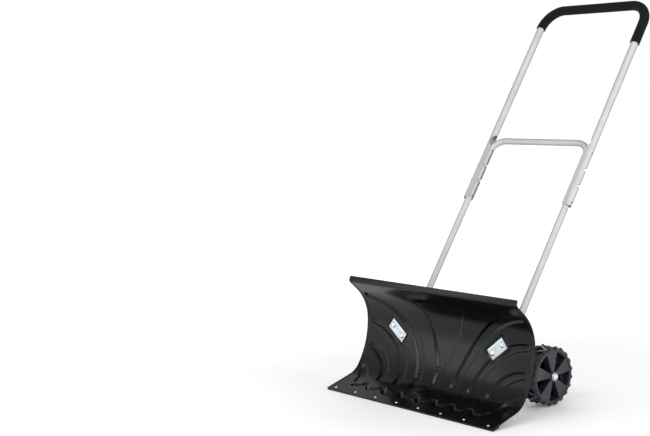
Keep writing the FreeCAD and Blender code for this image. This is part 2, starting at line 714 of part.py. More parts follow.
def make_axle():
    tube = cylinder("axle_tube / 2", f"2 * {TUBE_END}", f"0 - {TUBE_END}", "wheel_setback", AXLE_Z, ALONG_X)
    bore = cylinder(
        "axle / 2 + bolt_gap", f"2 * {TUBE_END}", f"0 - {TUBE_END}", "wheel_setback", AXLE_Z, ALONG_X
    )
    finish(cut(tube, bore), "axle_tube")
    half = f"( {CAP_IN} + cap_height / 2 )"
    rod = cylinder("axle / 2", f"2 * {half}", f"0 - {half}", "wheel_setback", AXLE_Z, ALONG_X)
    finish(rod, "axle_rod", y="wheel_setback")
    washers = []
    for start in (TUBE_END, f"( {WHEEL_OUT} + wheel_play )"):
        for x in (start, f"( 0 - {start} - washer_wall )"):
            disc = cylinder("axle", "washer_wall", x, "wheel_setback", AXLE_Z, ALONG_X)
            hole = cylinder("axle / 2", "washer_wall", x, "wheel_setback", AXLE_Z, ALONG_X)
            washers.append(cut(disc, hole))
    finish(group(washers), "axle_washers")
    for side, name, turn in ((-1, "left_axle_cap", ALONG_MINUS_X), (1, "right_axle_cap", ALONG_X)):
        x = f"{side} * {CAP_IN}"
        shell = domed_head("cap_diameter", "cap_height", x, "wheel_setback", AXLE_Z, turn)
        well = cylinder("axle / 2 + running_gap", "cap_height / 2", x, "wheel_setback", AXLE_Z, turn)
        finish(cut(shell, well), name)


def make_wheel(side, name):
    """A moulded wheel turned about X: hub, disc and rim, with gaps cut between the lugs of its tread."""
    body = new_body("Wheel")
    section = sketch_on(body, "Section", "XY_Plane")
    bore = size("axle") / 2 + size("running_gap")
    hub = size("wheel_hub") / 2
    outer = size("wheel_diameter") / 2
    rim = outer - size("rim_depth")
    wide = size("wheel_width")
    web_in = (wide - size("wheel_web")) / 2
    web_out = web_in + size("wheel_web")
    slope = size("tread_side")
    shoulder = outer - size("tread_fall")
    outline = [
        (0, bore), (wide, bore), (wide, hub), (web_out, hub), (web_out, rim), (wide, rim),
        (wide, shoulder), (wide - slope, outer), (slope, outer), (0, shoulder),
        (0, rim), (web_in, rim), (web_in, hub), (0, hub),
    ]
    draw(section, polygon([V(side * x, y, 0) for x, y in outline]))
    turned = body.newObject("PartDesign::Revolution", "Turned")
    turned.Profile = section
    turned.ReferenceAxis = (section, ["H_Axis"])
    turned.Angle = 360
    body.Tip = turned
    gap = sketch_on(body, "LugGap", "YZ_Plane")
    half_step = math.radians(180 / size("lug_count"))
    along = V(math.sin(half_step), math.cos(half_step), 0)
    across = V(math.cos(half_step), -math.sin(half_step), 0) * (size("lug_groove") / 2)
    floor = along * (outer - size("lug_depth"))
    sky = along * (outer + size("lug_depth"))
    draw(gap, polygon([floor - across, floor + across, sky + across, sky - across]))
    groove = pocket(body, gap, "4 * wheel_width", both=True)
    ring = body.newObject("PartDesign::PolarPattern", "Lugs")
    ring.Originals = [groove]
    ring.Axis = (section, ["H_Axis"])
    ring.Angle = 360
    bind(ring, "Occurrences", "lug_count")
    body.Tip = ring
    bind(body, "Placement.Base.x", f"{side} * {WHEEL_IN}")
    bind(body, "Placement.Base.z", AXLE_Z)
    return finish(body, name, y="wheel_setback")


# ---------------------------------------------------------------- handle


def on_handle(x, along):
    """A point in the handle's leaning plane."""
    lean = math.radians(size("handle_lean"))
    return V(x, size("handle_foot") + along * math.sin(lean), along * math.cos(lean))


def bent_path(points, radii):
    """Straight runs joined by tangent arcs, one radius for each inner point."""
    edges = []
    start = points[0]
    for before, corner, after, radius in zip(points, points[1:], points[2:], radii):
        way_in = (before - corner).normalize()
        way_out = (after - corner).normalize()
        half = way_in.getAngle(way_out) / 2
        back = radius / math.tan(half)
        first = corner + way_in * back
        last = corner + way_out * back
        middle = (way_in + way_out).normalize() * (radius / math.sin(half) - radius)
        edges.append(Part.LineSegment(start, first).toShape())
        edges.append(Part.Arc(first, corner + middle, last).toShape())
        start = last
    edges.append(Part.LineSegment(start, points[-1]).toShape())
    return Part.Wire(edges)


def rod_along(path, radius):
    first = path.Edges[0]
    ring = Part.makeCircle(radius, first.valueAt(first.FirstParameter), first.tangentAt(first.FirstParameter))
    return path.makePipe(Part.Face(Part.Wire(ring)))


def tube_along(path, outer, inner):
    return rod_along(path, outer).cut(rod_along(path, inner))


def feature(shape, label):
    """A sub-part from a shape worked out in code, which must be all in one piece."""
    if len(shape.Solids) != 1:
        raise RuntimeError(f"{label} came out as {len(shape.Solids)} solids")
    obj = doc.addObject("Part::Feature", "Feature")
    obj.Shape = shape.Solids[0]
    return finish(obj, label)


HEIGHTS = [f"( hole_first + {number} * hole_pitch )" for number in range(int(size("hole_count")))]
BOLTED = HEIGHTS[1:3]


def drilled(tube, reach):
    """The tube with the height holes drilled across both of its legs."""
    radius = size("handle_bolt") / 2 + size("bolt_gap")
    for text in HEIGHTS:
        tube = tube.cut(Part.makeCylinder(radius, 2 * reach, on_handle(-reach, amount(text)), V(1, 0, 0)))
    return tube


def make_lower_handle():
    """One tube: up from the axle, back at the knee, across at the top and down again."""
    leg = size("leg_spread") / 2
    axle = V(0, size("wheel_setback"), size("wheel_diameter") / 2)
    corners = [
        on_handle(-leg, size("knee_height")), on_handle(-leg, size("cross_height")),
        on_handle(leg, size("cross_height")), on_handle(leg, size("knee_height")),
    ]
    points = [axle + V(-leg, 0, 0)] + corners + [axle + V(leg, 0, 0)]
    bends = [size("knee_bend"), size("cross_bend"), size("cross_bend"), size("knee_bend")]
    outer = size("lower_tube") / 2
    tube = tube_along(bent_path(points, bends), outer, outer - size("lower_wall"))
    seat = Part.makeCylinder(size("axle_tube") / 2, 4 * leg, axle - V(2 * leg, 0, 0), V(1, 0, 0))
    return feature(drilled(tube.cut(seat), 2 * leg), "lower_handle")


def leaning_block(side, outline, thickness):
    """A block from an outline in the handle's plane, (x, distance along the handle), centred on that plane."""
    lean = math.radians(size("handle_lean"))
    square = V(0, math.cos(lean), -math.sin(lean))
    points = [on_handle(side * x, along) - square * (thickness / 2) for x, along in outline]
    face = Part.Face(Part.makePolygon(points + points[:1]))
    return face.extrude(square * thickness)


def turned_leg(x, profile):
    """A round length of a leg, turned about its own line from (radius, distance along the handle)."""
    points = [on_handle(x + radius, along) for radius, along in profile]
    face = Part.Face(Part.makePolygon(points + points[:1]))
    foot = on_handle(x, 0)
    return face.revolve(foot, on_handle(x, 1) - foot, 360)


def upper_bends(end):
    """The upper tube's line: up one leg from end, across the top and down the other."""
    leg = size("upper_spread") / 2
    top = size("grip_height")
    points = [on_handle(-leg, end), on_handle(-leg, top), on_handle(leg, top), on_handle(leg, end)]
    return bent_path(points, [size("upper_bend"), size("upper_bend")])


def make_upper_handle():
    """One tube. Each end is brought to the lower tube's width and opened on its inner side into a channel."""
    leg = size("upper_spread") / 2
    low = size("saddle_start")
    slant = size("saddle_slant")
    shoulder = size("saddle_end") - slant
    narrow = size("saddle_end") + slant
    full = narrow + size("swage_length")
    lip = size("leg_spread") / 2 - size("saddle_lip")
    outer = size("upper_tube") / 2
    inner = outer - size("upper_wall")
    channel_out = amount(CHANNEL_OUT)
    channel_in = amount(CHANNEL_IN)
    clear = 2 * channel_out
    profile = [
        (channel_in, low), (channel_out, low), (channel_out, narrow),
        (outer, full), (inner, full), (channel_in, narrow),
    ]
    opened = [(leg - clear, low - clear), (leg, low - clear), (leg, shoulder), (leg - clear, narrow)]
    sides = [(lip, low), (leg, low), (leg, shoulder), (lip, shoulder - slant)]
    tube = tube_along(upper_bends(full), outer, inner)
    for side in (-1, 1):
        end = turned_leg(side * leg, profile).cut(leaning_block(side, opened, 2 * clear))
        lips = leaning_block(side, sides, 2 * channel_out).cut(leaning_block(side, sides, 2 * channel_in))
        tube = tube.fuse(end.fuse(lips))
    return feature(drilled(tube.removeSplitter(), 2 * leg), "upper_handle")


def make_grip():
    inner = size("upper_tube") / 2 + size("grip_gap")
    return feature(tube_along(upper_bends(size("grip_end")), size("grip_od") / 2, inner), "foam_grip")


def make_handle_bolts():
    """Domed bolts from the outside of each leg, with nuts on the inside."""
    bolts, nuts = [], []
    outside = f"( upper_spread / 2 + {CHANNEL_OUT} )"
    inside = "( leg_spread / 2 - lower_tube / 2 )"
    for along in BOLTED:
        y = f"( handle_foot + {along} * sin ( {LEAN} ) )"
        z = f"( {along} * cos ( {LEAN} ) )"
        for side, inward, outward in ((-1, ALONG_X, ALONG_MINUS_X), (1, ALONG_MINUS_X, ALONG_X)):
            shank_long = f"( {outside} - {inside} + handle_nut_height + handle_thread )"
            shank = cylinder("handle_bolt / 2", shank_long, f"{side} * {outside}", y, z, inward)
            head = domed_head("handle_head", "handle_head_height", f"{side} * {outside}", y, z, outward)
            bolts.append(fuse(shank, head))
            nut = hexagon("handle_nut", "handle_nut_height", f"{side} * {inside}", y, z, inward)
            hole = cylinder("handle_bolt / 2", "handle_nut_height", f"{side} * {inside}", y, z, inward)
            nuts.append(cut(nut, hole))
    finish(group(bolts), "handle_bolts")
    finish(group(nuts), "handle_nuts")


make_blade_shell()
make_wear_strip()
make_rivets()
make_clamp_plate(-1, "left_clamp_plate")
make_clamp_plate(1, "right_clamp_plate")
make_clamp_hardware()
make_yoke_plate()
make_yoke_hub()
make_hub_bushes()
make_swivel_bracket()
make_kingpin()
make_lock()
make_axle()
make_wheel(-1, "left_wheel")
make_wheel(1, "right_wheel")
make_lower_handle()
make_upper_handle()
make_grip()
make_handle_bolts()

doc.recompute()
for obj in doc.Objects:
    if "Invalid" in obj.State or "Error" in obj.State:
        raise RuntimeError(f"{obj.Name} failed: {obj.State}")
for obj in subparts:
    if obj.Shape.isNull() or not obj.Shape.isValid():
        raise RuntimeError(f"{obj.Label} has no valid shape")

os.makedirs("parts", exist_ok=True)
for obj in subparts:
    obj.Shape.exportStep(f"parts/{obj.Label}.step")
    limits = obj.Shape.BoundBox
    print(f"{obj.Label}: {len(obj.Shape.Solids)} solids, {obj.Shape.Volume / 1000:.1f} cm3, "
          f"x {limits.XMin:.1f}..{limits.XMax:.1f} y {limits.YMin:.1f}..{limits.YMax:.1f} "
          f"z {limits.ZMin:.1f}..{limits.ZMax:.1f}")
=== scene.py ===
# %% [markdown]
# # A wheeled snow shovel
# A wide black blade is moulded in one shell and pushed in front of two small wheels. A bent tube frame rises
# from the axle, and a second tube slides over it and ends in a foam grip. The sizes and the places of everything
# come from a finished mechanical model, so this notebook only gives each piece its real shape and surface.

# %% Load the mechanical model
import math

import bpy
from mathutils import Matrix, Vector


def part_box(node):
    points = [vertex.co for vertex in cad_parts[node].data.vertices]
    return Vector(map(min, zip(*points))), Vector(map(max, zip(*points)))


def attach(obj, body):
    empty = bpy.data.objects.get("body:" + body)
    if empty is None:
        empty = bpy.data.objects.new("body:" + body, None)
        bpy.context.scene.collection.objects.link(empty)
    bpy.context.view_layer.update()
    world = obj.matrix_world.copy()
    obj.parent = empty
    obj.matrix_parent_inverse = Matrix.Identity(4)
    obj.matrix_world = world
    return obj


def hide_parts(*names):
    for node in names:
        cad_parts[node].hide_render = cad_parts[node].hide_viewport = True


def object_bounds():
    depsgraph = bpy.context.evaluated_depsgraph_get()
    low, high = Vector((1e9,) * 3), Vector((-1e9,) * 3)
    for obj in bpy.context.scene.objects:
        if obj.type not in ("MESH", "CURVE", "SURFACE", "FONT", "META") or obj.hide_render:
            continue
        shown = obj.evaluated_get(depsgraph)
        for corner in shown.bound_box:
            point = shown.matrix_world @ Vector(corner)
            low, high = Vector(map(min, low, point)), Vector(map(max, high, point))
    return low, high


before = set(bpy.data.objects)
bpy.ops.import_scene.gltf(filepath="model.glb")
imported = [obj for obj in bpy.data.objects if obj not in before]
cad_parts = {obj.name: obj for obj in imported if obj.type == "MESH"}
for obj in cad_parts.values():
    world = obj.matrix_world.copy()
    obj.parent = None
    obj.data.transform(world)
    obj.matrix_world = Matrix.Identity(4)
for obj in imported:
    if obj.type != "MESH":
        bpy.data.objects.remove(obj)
cad_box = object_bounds()
MM = 0.001
print("model from", [round(v, 3) for v in cad_box[0]], "to", [round(v, 3) for v in cad_box[1]])

# %% [markdown]
# ## Camera
# A long lens from the front right, at about the height of the crossbar, keeps the blade's curve and the legs
# nearly parallel. The camera could follow an aim point, but a bearing, a dip and a small roll say the same thing
# in three numbers that can be read.

# %% Place the camera
BEARING = math.radians(50.27)
DIP = math.radians(5.45)
ROLL = math.radians(-0.86)
LENS = 71.46
CAMERA_AT = (2.865, -3.164, 0.9725)

camera_data = bpy.data.cameras.new("Camera")
camera_data.lens = LENS
camera = bpy.data.objects.new("Camera", camera_data)
bpy.context.scene.collection.objects.link(camera)
turn = Matrix.Rotation(BEARING, 4, "Z")
tilt = Matrix.Rotation(math.pi / 2 - DIP, 4, "X")
lean = Matrix.Rotation(ROLL, 4, "Z")
camera.matrix_world = Matrix.Translation(CAMERA_AT) @ turn @ tilt @ lean
bpy.context.scene.camera = camera
print("camera", round(camera.location.length, 2), "m from the middle of the footprint")

# %% [markdown]
# ## Light and floor
# Black moulded plastic is seen by what it reflects, so the lights are large panels: one long panel over the
# front for the highlight on the blade's upper curve, one low at the side for its edges, and one behind for the
# tubes. Two narrow strips stand where the hollow of the blade mirrors them, one each side of its middle. Small
# lamps would leave hard dots on it. The room has white walls and a greyer ceiling: with white all round, the
# blade would turn an even grey and the tubes would lose their darker sides.

# %% Build the studio


def area_light(name, place, target, wide, tall, watts):
    data = bpy.data.lights.new(name, "AREA")
    data.shape = "RECTANGLE"
    data.size = wide
    data.size_y = tall
    data.energy = watts
    lamp = bpy.data.objects.new(name, data)
    bpy.context.scene.collection.objects.link(lamp)
    direction = Vector(target) - Vector(place)
    lamp.matrix_world = Matrix.Translation(place) @ direction.to_track_quat("-Z", "Y").to_matrix().to_4x4()
    return lamp


area_light("Front_panel", (0.6, -3.2, 3.0), (0.0, -0.1, 0.4), 3.2, 1.4, 60)
area_light("Side_panel", (3.4, 0.4, 1.8), (0.0, 0.0, 0.5), 1.2, 2.4, 30)
area_light("Back_panel", (-2.4, 2.8, 2.6), (0.0, 0.1, 0.5), 2.4, 1.6, 25)
area_light("Left_strip", (-2.22, -2.4, 0.75), (-0.06, -0.3, 0.2), 0.12, 1.5, 1.8)
area_light("Right_strip", (-1.86, -2.4, 0.75), (0.13, -0.3, 0.2), 0.12, 1.5, 1.8)

world = bpy.data.worlds.new("Studio")
world.use_nodes = True
bpy.context.scene.world = world
bpy.context.scene.view_settings.view_transform = "Standard"

bpy.ops.mesh.primitive_plane_add(size=400, location=(0, 0, cad_box[0].z))
floor = bpy.context.object
floor.name = "Floor"

# %% [markdown]
# ## How the materials are made
# Every finish is a Principled shader with a little noise behind its colour, roughness and bump. Noise is given
# in real millimetres and read from Object coordinates, so it stays on the piece when the piece moves. One
# function turns a colour picked on screen into the linear value that a shader needs, and one adds a node.

# %% Material helpers


def linear(hex_colour):
    channels = [int(hex_colour[i:i + 2], 16) / 255 for i in (1, 3, 5)]
    return [c / 12.92 if c <= 0.04045 else ((c + 0.055) / 1.055) ** 2.4 for c in channels] + [1.0]


def add_node(tree, kind, sockets=None, **settings):
    """Adds a node, sets its own settings, and fills its sockets with values or with links."""
    node = tree.nodes.new(kind)
    for name, value in settings.items():
        setattr(node, name, value)
    for name, value in (sockets or {}).items():
        if isinstance(value, bpy.types.NodeSocket):
            tree.links.new(value, node.inputs[name])
        else:
            node.inputs[name].default_value = value
    return node


def finish_material(name, dark, light, grain_mm, rough, bump_mm, bump_depth_mm, metallic=0.0, ior=None):
    """A material whose colour and roughness drift between two values, with a fine relief."""
    material = bpy.data.materials.new(name)
    material.use_nodes = True
    tree = material.node_tree
    shader = tree.nodes["Principled BSDF"]
    shader.inputs["Metallic"].default_value = metallic
    if ior is not None:
        shader.inputs["IOR"].default_value = ior
    place = add_node(tree, "ShaderNodeTexCoord").outputs["Object"]
    drift = add_node(tree, "ShaderNodeTexNoise", {"Vector": place, "Scale": 1 / (grain_mm * MM), "Detail": 3.0})
    colour = add_node(tree, "ShaderNodeValToRGB", {"Fac": drift.outputs["Fac"]})
    colour.color_ramp.elements[0].position = 0.35
    colour.color_ramp.elements[0].color = linear(dark)
    colour.color_ramp.elements[1].position = 0.65
    colour.color_ramp.elements[1].color = linear(light)
    tree.links.new(colour.outputs["Color"], shader.inputs["Base Color"])
    spread = add_node(tree, "ShaderNodeMapRange", {"Value": drift.outputs["Fac"], "To Min": rough[0],
                                                   "To Max": rough[1]})
    tree.links.new(spread.outputs["Result"], shader.inputs["Roughness"])
    relief = add_node(tree, "ShaderNodeTexNoise", {"Vector": place, "Scale": 1 / (bump_mm * MM), "Detail": 2.0})
    bump = add_node(tree, "ShaderNodeBump", {"Height": relief.outputs["Fac"], "Distance": bump_depth_mm * MM,
                                             "Strength": 1.0})
    tree.links.new(bump.outputs["Normal"], shader.inputs["Normal"])
    return material


# %% Paint the room
WALL_TOP, CEILING = math.sin(math.radians(14)), math.sin(math.radians(40))
sky = world.node_tree
direction = add_node(sky, "ShaderNodeTexCoord").outputs["Generated"]
height = add_node(sky, "ShaderNodeSeparateXYZ", {"Vector": direction}).outputs["Z"]
shade = add_node(sky, "ShaderNodeMapRange", {"Value": height, "From Min": WALL_TOP, "From Max": CEILING,
                                             "To Min": 1.0, "To Max": 0.5})
sky.links.new(shade.outputs["Result"], sky.nodes["Background"].inputs["Strength"])
sky.nodes["Background"].inputs["Color"].default_value = (1.0, 1.0, 1.0, 1.0)
print("walls up to 14 degrees, ceiling from 40")

# %% [markdown]
# ## The finishes
# The blade and the wheels are polypropylene and polyethylene: black, a little waxy, glossy where the mould was
# polished. The tubes are powder coated, which leaves a fine orange peel. Small steel parts are zinc plated, a
# pale bluish grey. The rivets are bare aluminium. The real grain of a mould or a powder coat is under half a
# millimetre and would vanish, so it is drawn two or three times as coarse. Black plastic and foam mirror less
# than clear plastic does, because their skin scatters light, so their specular level is lowered.

# %% Make the finishes
polypropylene = finish_material("Polypropylene_moulded", "#060607", "#0a0a0c", 60, (0.15, 0.22), 2.2, 0.006,
                                ior=1.49)
polyethylene = finish_material("Polyethylene_moulded", "#1b1721", "#2b2532", 30, (0.24, 0.38), 1.6, 0.03,
                               ior=1.51)
powder_coat = finish_material("Powder_coat_light_grey", "#c0c3c2", "#c8cac9", 45, (0.34, 0.46), 1.4, 0.006,
                              ior=1.5)
zinc_plate = finish_material("Zinc_plated_steel", "#c3d0d5", "#d3dde1", 7, (0.30, 0.46), 0.9, 0.01,
                             metallic=1.0)
black_steel = finish_material("Black_painted_steel", "#0c0c0d", "#161617", 18, (0.38, 0.55), 1.2, 0.02,
                              ior=1.5)
bare_aluminium = finish_material("Aluminium_bare", "#dfe1e3", "#f0f1f2", 3, (0.20, 0.34), 0.7, 0.01,
                                 metallic=1.0)
bright_steel = finish_material("Steel_nickel_plated", "#d8dbdd", "#ebedee", 5, (0.14, 0.26), 0.8, 0.005,
                               metallic=1.0)
nylon = finish_material("Nylon_natural", "#ddd6c4", "#e9e3d3", 9, (0.42, 0.56), 0.9, 0.02, ior=1.53)
knob_plastic = finish_material("Abs_textured_black", "#131314", "#1d1d1f", 12, (0.50, 0.64), 0.8, 0.05,
                               ior=1.53)
foam = finish_material("Foam_closed_cell", "#0c0c0d", "#161617", 5, (0.78, 0.92), 1.3, 0.18, ior=1.45)
floor_paint = finish_material("Floor_matt_white", "#f4f5f5", "#f8f8f8", 900, (0.8, 0.9), 40, 0.01)

for material, level in ((powder_coat, 0.3), (foam, 0.2), (polypropylene, 0.24)):
    material.node_tree.nodes["Principled BSDF"].inputs["Specular IOR Level"].default_value = level
print(len(bpy.data.materials), "materials")

# %% [markdown]
# The floor is paper white as far as the eye goes. Lamps near the shovel can't light it so far away, so the floor
# gives a little light of its own, and more with distance. Near the wheels it gives little, and keeps its shadows.

# %% Brighten the floor with distance
GLOW_NEAR, GLOW_FAR = 0.7, 3.5
GLOW_LOW, GLOW_HIGH = 0.12, 0.58

floor.data.materials.append(floor_paint)
floor_tree = floor_paint.node_tree
floor_shader = floor_tree.nodes["Principled BSDF"]
floor_shader.inputs["Emission Color"].default_value = (1.0, 1.0, 1.0, 1.0)
floor_place = add_node(floor_tree, "ShaderNodeTexCoord").outputs["Object"]
floor_reach = add_node(floor_tree, "ShaderNodeVectorMath", {0: floor_place}, operation="LENGTH").outputs["Value"]
floor_glow = add_node(floor_tree, "ShaderNodeMapRange", {"Value": floor_reach, "From Min": GLOW_NEAR,
                                                         "From Max": GLOW_FAR, "To Min": GLOW_LOW,
                                                         "To Max": GLOW_HIGH})
floor_tree.links.new(floor_glow.outputs["Result"], floor_shader.inputs["Emission Strength"])
print("floor glows from", GLOW_LOW, "to", GLOW_HIGH)

# %% [markdown]
# A thin grey tube in a white room would melt into it. A Layer Weight mixes a darker grey into the coat's colour
# where the tube is seen at a glancing angle: painted shade, which draws a line down each side of the tube.

# %% Paint shade on the coat at its edges
EDGE_FROM, EDGE_TO, PAINTED_SHADE_SHARE = 0.15, 0.7, 0.85

coat = powder_coat.node_tree
coat_shader = coat.nodes["Principled BSDF"]
coat_colour = coat_shader.inputs["Base Color"].links[0].from_socket
# painted shade: a darker grey goes into the coat's colour towards the tube's glancing edges
flat_angle = add_node(coat, "ShaderNodeLayerWeight", {"Blend": 0.5}).outputs["Facing"]
painted_edge_shade = add_node(coat, "ShaderNodeMapRange", {"Value": flat_angle, "From Min": EDGE_FROM,
                                                   "From Max": EDGE_TO, "To Min": 0.0, "To Max": PAINTED_SHADE_SHARE})
darker = add_node(coat, "ShaderNodeMix", {"Factor": painted_edge_shade.outputs["Result"], "A": coat_colour,
                                          "B": linear("#767b7a")}, data_type="RGBA")
coat.links.new(darker.outputs["Result"], coat_shader.inputs["Base Color"])
print("the coat is darker by up to", PAINTED_SHADE_SHARE, "at its edges")

# %% [markdown]
# ## Parts that keep their engineering shape
# Tubes, washers, bushes and the wear strip are already right: plain round or flat parts. They only get their
# finish. The wear strip is black painted steel, so that it disappears under the blade's lip.

# %% Give the plain parts their finish
PLAIN = {
    powder_coat: ["lower_handle", "upper_handle", "axle_tube"],
    zinc_plate: ["clamp_washers", "kingpin_washers", "lock_washer", "axle_washers", "axle_rod"],
    black_steel: ["wear_strip"],
    nylon: ["hub_bushes"],
}
for material, names in PLAIN.items():
    for name in names:
        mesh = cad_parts[name].data
        mesh.materials.clear()
        mesh.materials.append(material)
print("kept", sum(len(names) for names in PLAIN.values()), "parts")

# %% [markdown]
# ## Edit-mode helpers
# An operator acts on everything that is selected, so each piece starts by clearing the selection. Faces are
# then picked by where they are, which reads as it would be said: the faces on the outside, between two angles.

# %% Selection helpers


def deselect():
    if bpy.context.object and bpy.context.object.mode != "OBJECT":
        bpy.ops.object.mode_set(mode="OBJECT")
    bpy.ops.object.select_all(action="DESELECT")


def pick_faces(piece, wanted):
    """Selects the faces whose centre and normal pass the test, and goes back into edit mode."""
    bpy.ops.object.mode_set(mode="EDIT")
    bpy.ops.mesh.select_mode(type="FACE")
    bpy.ops.mesh.select_all(action="DESELECT")
    bpy.ops.object.mode_set(mode="OBJECT")
    count = 0
    for face in piece.data.polygons:
        face.select = bool(wanted(face.center, face.normal))
        count += face.select
    bpy.ops.object.mode_set(mode="EDIT")
    return count


def complete(piece, name, material, body, slot, *nodes, smooth=35):
    """Names a finished piece, gives it its surface, and hands it to the body that it moves with."""
    deselect()
    piece.name = name
    piece.data.name = name
    piece.data.materials.clear()
    piece.data.materials.append(material)
    piece.select_set(True)
    bpy.context.view_layer.objects.active = piece
    bpy.ops.object.shade_smooth_by_angle(angle=math.radians(smooth))
    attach(piece, body)
    if nodes:
        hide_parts(*nodes)
    piece.select_set(False)
    print(name, len(piece.data.polygons), "faces")
    return piece


def face_outwards():
    """Turns every face of the piece in hand outwards, and leaves edit mode."""
    if bpy.context.object.mode != "EDIT":
        bpy.ops.object.mode_set(mode="EDIT")
    bpy.ops.mesh.select_all(action="SELECT")
    bpy.ops.mesh.normals_make_consistent(inside=False)
    bpy.ops.object.mode_set(mode="OBJECT")


def join_into(first, second):
    deselect()
    first.select_set(True)
    second.select_set(True)
    bpy.context.view_layer.objects.active = first
    bpy.ops.object.join()


def pick_open_ends():
    bpy.ops.mesh.select_mode(type="EDGE")
    bpy.ops.mesh.select_all(action="DESELECT")
    bpy.ops.mesh.select_non_manifold()


def apply_modifier(piece, kind, **settings):
    bpy.context.view_layer.objects.active = piece
    modifier = piece.modifiers.new(kind.title(), kind)
    for name, value in settings.items():
        setattr(modifier, name, value)
    bpy.ops.object.modifier_apply(modifier=modifier.name)


# %% [markdown]
# ## Pressed and machined parts with their edges broken
# A real steel plate, nut or casting never has a knife edge: shears and dies leave a small radius, and that
# radius is what catches the light. The engineering part is copied, its loose triangles are merged and its flat
# areas cleaned, and a Bevel modifier rounds what is sharp. Modelling each again would only repeat its holes.

# %% Soften the edges of the metal parts


def softened(node, material, body, slot, width_mm, segments=2):
    deselect()
    piece = bpy.data.objects.new(node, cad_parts[node].data.copy())
    bpy.context.scene.collection.objects.link(piece)
    piece.select_set(True)
    bpy.context.view_layer.objects.active = piece
    bpy.ops.object.mode_set(mode="EDIT")
    bpy.ops.mesh.select_all(action="SELECT")
    bpy.ops.mesh.customdata_custom_splitnormals_clear()
    bpy.ops.mesh.remove_doubles(threshold=0.01 * MM)
    bpy.ops.mesh.dissolve_limited(angle_limit=math.radians(1))
    bpy.ops.mesh.normals_make_consistent(inside=False)
    bpy.ops.object.mode_set(mode="OBJECT")
    apply_modifier(piece, "BEVEL", width=width_mm * MM, segments=segments, limit_method="ANGLE",
                   angle_limit=math.radians(40))
    return complete(piece, node + "_softened", material, body, slot, node)


BROKEN_EDGES = [
    ("left_clamp_plate", zinc_plate, "blade", "zinc_steel", 0.5),
    ("right_clamp_plate", zinc_plate, "blade", "zinc_steel", 0.5),
    ("yoke_plate", zinc_plate, "blade", "zinc_steel", 0.6),
    ("yoke_hub", powder_coat, "blade", "frame_paint", 0.6),
    ("clamp_nuts", zinc_plate, "blade", "zinc_steel", 0.4),
    ("lock_bolt", zinc_plate, "blade", "zinc_steel", 0.4),
    ("swivel_bracket", powder_coat, "chassis", "frame_paint", 0.6),
    ("kingpin", zinc_plate, "chassis", "zinc_steel", 0.6),
    ("kingpin_nut", zinc_plate, "chassis", "zinc_steel", 0.6),
    ("handle_nuts", zinc_plate, "chassis", "zinc_steel", 0.3),
]
for node, material, body, slot, width in BROKEN_EDGES:
    softened(node, material, body, slot, width)
softened("lock_knob", knob_plastic, "lock_knob", "knob_plastic", 1.6, segments=3)

# %% [markdown]
# ## Turned parts
# Domed bolt heads, rivets and the axle's push-on caps are all round. By hand they are a circle, extruded a step
# at a time and scaled at each step, then closed at the tip. A dome is a quarter of an ellipse in such steps.

# %% Turned-part helpers


def dome_steps(radius, height, count=6):
    """Steps of an elliptical dome from its foot: how far up each ring is, and its radius."""
    angles = [math.pi / 2 * n / count for n in range(1, count)]
    return [(height * math.sin(a), radius * math.cos(a)) for a in angles]


def turned(rings, sides=32):
    """A round piece along +Z through rings of (height, radius) in millimetres, closed at both ends."""
    deselect()
    height, radius = rings[0]
    bpy.ops.mesh.primitive_circle_add(vertices=sides, radius=radius * MM, fill_type="NGON",
                                      location=(0, 0, height * MM))
    piece = bpy.context.object
    bpy.ops.object.transform_apply(location=True, rotation=True, scale=True)
    bpy.ops.object.mode_set(mode="EDIT")
    bpy.ops.mesh.select_all(action="SELECT")
    for (low, before), (high, after) in zip(rings, rings[1:]):
        bpy.ops.mesh.extrude_region_move(TRANSFORM_OT_translate={"value": (0, 0, (high - low) * MM)})
        scale = after / before
        bpy.ops.transform.resize(value=(scale, scale, 1), center_override=(0, 0, high * MM))
    face_outwards()
    return piece


def copies_at(master, places):
    """One object made of a copy of the master at each place, given as matrices; the master goes."""
    deselect()
    made = []
    for matrix in places:
        one = bpy.data.objects.new(master.name, master.data.copy())
        one.data.transform(matrix)
        bpy.context.scene.collection.objects.link(one)
        one.select_set(True)
        made.append(one)
    bpy.context.view_layer.objects.active = made[0]
    bpy.ops.object.join()
    bpy.data.objects.remove(master)
    return made[0]


# %% [markdown]
# ## The blade's section
# Seen from the side the blade is a floor, a tight heel, a long lower back, a rounder crown that comes forward,
# a short brow and a flange turned up at the top. It is drawn as a pen would draw it: so long, turning so far.
# Each run then needs two numbers, and a point at any distance along it can be worked out exactly.

# %% Draw the section
FLOOR_RISE = 17.5
BELLY_TURN = 90 - FLOOR_RISE - 39.5
RUNS = [
    (104.0, 0.0),
    (75 * math.radians(39.5), 39.5),
    (275 * math.radians(BELLY_TURN), BELLY_TURN),
    (140 * math.radians(49), 49.0),
    (38.0, 0.0),
    (11 * math.radians(67), -67.0),
    (11.0, 0.0),
]
SECTION_LONG = sum(long for long, turn in RUNS)
BLADE_WALL = 5.0
blade_low, blade_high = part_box("blade_shell")
HALF_WIDE = blade_high.x / MM
LIP_Y = blade_low.y / MM
LIP_Z = blade_low.z / MM + BLADE_WALL * math.cos(math.radians(FLOOR_RISE))


def section_point(along):
    """Where the front face is at a distance along it: back, up, and the direction it runs in."""
    y, z, heading = LIP_Y, LIP_Z, math.radians(FLOOR_RISE)
    for long, turn in RUNS:
        part = min(max(along, 0.0), long)
        if turn:
            radius = long / math.radians(turn)
            after = heading + part / radius
            y += radius * (math.sin(after) - math.sin(heading))
            z += radius * (math.cos(heading) - math.cos(after))
            heading = after
        else:
            y += part * math.cos(heading)
            z += part * math.sin(heading)
        along -= long
        if along <= 0:
            break
    return y, z, heading


top = section_point(SECTION_LONG)
print("section", round(SECTION_LONG, 1), "mm, top at", round(top[1], 1), "of", round(blade_high.z / MM, 1))

